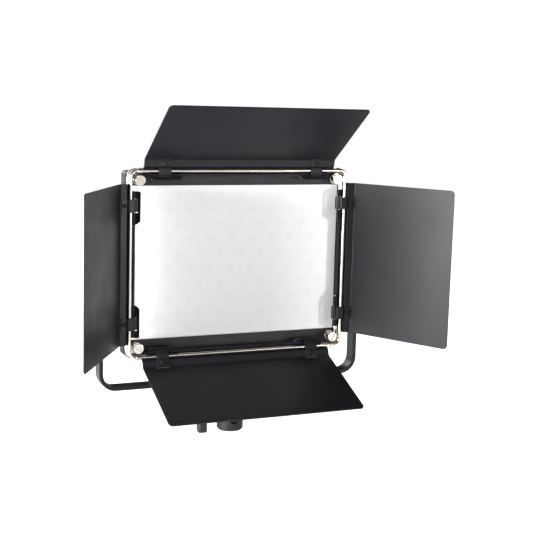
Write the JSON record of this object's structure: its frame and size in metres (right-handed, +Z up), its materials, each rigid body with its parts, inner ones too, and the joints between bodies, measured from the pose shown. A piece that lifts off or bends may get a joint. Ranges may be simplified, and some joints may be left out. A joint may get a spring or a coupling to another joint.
{
  "type": "led panel light",
  "caption": "Rectangular LED panel light with four hinged barn doors on nickel rods, in a U-shaped yoke with a clamping stand socket.",
  "frame": {"origin": "centre of the mouth of the stand socket", "axes": "+Z up along the socket, the light faces -Y, +X to the right seen from the front"},
  "size_m": [0.4189, 0.1807, 0.3821],
  "materials": {
    "powder_black": "fine black powder coat, satin",
    "cast_black": "black coated casting",
    "black_steel": "black oxide steel",
    "nickel": "bright nickel plate",
    "steel": "zinc plated steel",
    "brass": "plain brass",
    "knob_plastic": "moulded black plastic",
    "shell_plastic": "moulded black plastic, fine grain",
    "gloss_black": "gloss black plastic",
    "rubber_black": "black rubber",
    "nylon": "natural nylon",
    "opal": "opal acrylic",
    "white_plastic": "white reflector plastic",
    "board_white": "white coated circuit board",
    "board_green": "green circuit board",
    "led_yellow": "phosphor lamp",
    "aluminium": "plain aluminium",
    "window_clear": "clear display cover",
    "display_grey": "liquid crystal display",
    "component": "electronic components"
  },
  "bodies": {
    "stand": {"stand_adapter": "cast_black", "swivel_bolt": "black_steel", "swivel_washers": "nylon"},
    "clamp": {"clamp_knob": "knob_plastic", "clamp_screw": "steel"},
    "yoke": {"yoke": "powder_black", "yoke_bushes": "nylon"},
    "tilt_knob_left": {"tilt_knob_left": "knob_plastic", "tilt_stud_left": "steel"},
    "tilt_knob_right": {"tilt_knob_right": "knob_plastic", "tilt_stud_right": "steel"},
    "brightness_dial": {"brightness_dial": "knob_plastic", "brightness_shaft": "steel"},
    "colour_dial": {"colour_dial": "knob_plastic", "colour_shaft": "steel"},
    "power_rocker": {"power_rocker": "gloss_black"},
    "release_left": {"release_latch_left": "knob_plastic"},
    "release_right": {"release_latch_right": "knob_plastic"},
    "top_door": {"top_door_blade": "powder_black", "top_door_clips": "black_steel", "top_door_screws": "black_steel"},
    "bottom_door": {"bottom_door_blade": "powder_black", "bottom_door_clips": "black_steel", "bottom_door_screws": "black_steel"},
    "left_door": {"left_door_blade": "powder_black", "left_door_clips": "black_steel", "left_door_screws": "black_steel"},
    "right_door": {"right_door_blade": "powder_black", "right_door_clips": "black_steel", "right_door_screws": "black_steel"},
    "panel": {"pivot_spacers": "cast_black", "pivot_washers": "rubber_black", "pivot_backing_plates": "steel", "pivot_screws": "black_steel", "front_frame": "shell_plastic", "corner_inserts": "brass", "diffuser": "opal", "light_box": "white_plastic", "led_board": "board_white", "leds": "led_yellow", "heat_plate": "aluminium", "rear_shell": "shell_plastic", "rear_screws": "black_steel", "control_plate": "gloss_black", "display_window": "window_clear", "display_module": "display_grey", "control_board": "board_green", "dial_encoders": "component", "switch_frame": "gloss_black", "driver_board": "board_green", "driver_components": "component", "board_standoffs": "brass", "dc_inlet": "gloss_black", "battery_plates": "shell_plastic", "battery_contacts": "brass", "release_springs": "steel", "door_rods": "nickel", "corner_brackets": "nickel", "corner_posts": "nickel", "thumbscrews": "nickel"}
  },
  "joints": [
    {"name": "clamp_turn", "type": "hinge", "parent": "stand", "child": "clamp", "pos_m": [-0.035, 0, 0.022], "axis": [-1, 0, 0], "continuous": true},
    {"name": "yoke_swivel", "type": "hinge", "parent": "stand", "child": "yoke", "pos_m": [0, 0, 0.0585], "axis": [0, 0, 1], "continuous": true},
    {"name": "panel_tilt", "type": "hinge", "parent": "yoke", "child": "panel", "pos_m": [0, 0, 0.203], "axis": [1, 0, 0], "range_deg": [-80, 8]},
    {"name": "tilt_knob_left_turn", "type": "hinge", "parent": "panel", "child": "tilt_knob_left", "pos_m": [-0.17, 0, 0.203], "axis": [-1, 0, 0], "continuous": true},
    {"name": "tilt_knob_right_turn", "type": "hinge", "parent": "panel", "child": "tilt_knob_right", "pos_m": [0.17, 0, 0.203], "axis": [1, 0, 0], "continuous": true},
    {"name": "top_door_hinge", "type": "hinge", "parent": "panel", "child": "top_door", "pos_m": [0, -0.021, 0.3075], "axis": [1, 0, 0], "range_deg": [-59.8, 117.2]},
    {"name": "bottom_door_hinge", "type": "hinge", "parent": "panel", "child": "bottom_door", "pos_m": [0, -0.021, 0.0985], "axis": [-1, 0, 0], "range_deg": [-57.1, 112.9]},
    {"name": "left_door_hinge", "type": "hinge", "parent": "panel", "child": "left_door", "pos_m": [-0.131, -0.021, 0.203], "axis": [0, 0, -1], "range_deg": [-121, 24]},
    {"name": "right_door_hinge", "type": "hinge", "parent": "panel", "child": "right_door", "pos_m": [0.131, -0.021, 0.203], "axis": [0, 0, 1], "range_deg": [-109.5, 27.5]},
    {"name": "brightness_turn", "type": "hinge", "parent": "panel", "child": "brightness_dial", "pos_m": [-0.038, 0.03, 0.189], "axis": [0, 1, 0], "range_deg": [-150, 150]},
    {"name": "colour_turn", "type": "hinge", "parent": "panel", "child": "colour_dial", "pos_m": [0.038, 0.03, 0.189], "axis": [0, 1, 0], "range_deg": [-150, 150]},
    {"name": "power_switch", "type": "hinge", "parent": "panel", "child": "power_rocker", "pos_m": [0, 0.024, 0.187], "axis": [1, 0, 0], "range_deg": [0, 16]},
    {"name": "release_left_slide", "type": "slide", "parent": "panel", "child": "release_left", "axis": [0, 0, -1], "range_m": [0, 0.003], "stiffness_N_per_m": 300},
    {"name": "release_right_slide", "type": "slide", "parent": "panel", "child": "release_right", "axis": [0, 0, -1], "range_m": [0, 0.003], "stiffness_N_per_m": 300}
  ]
}
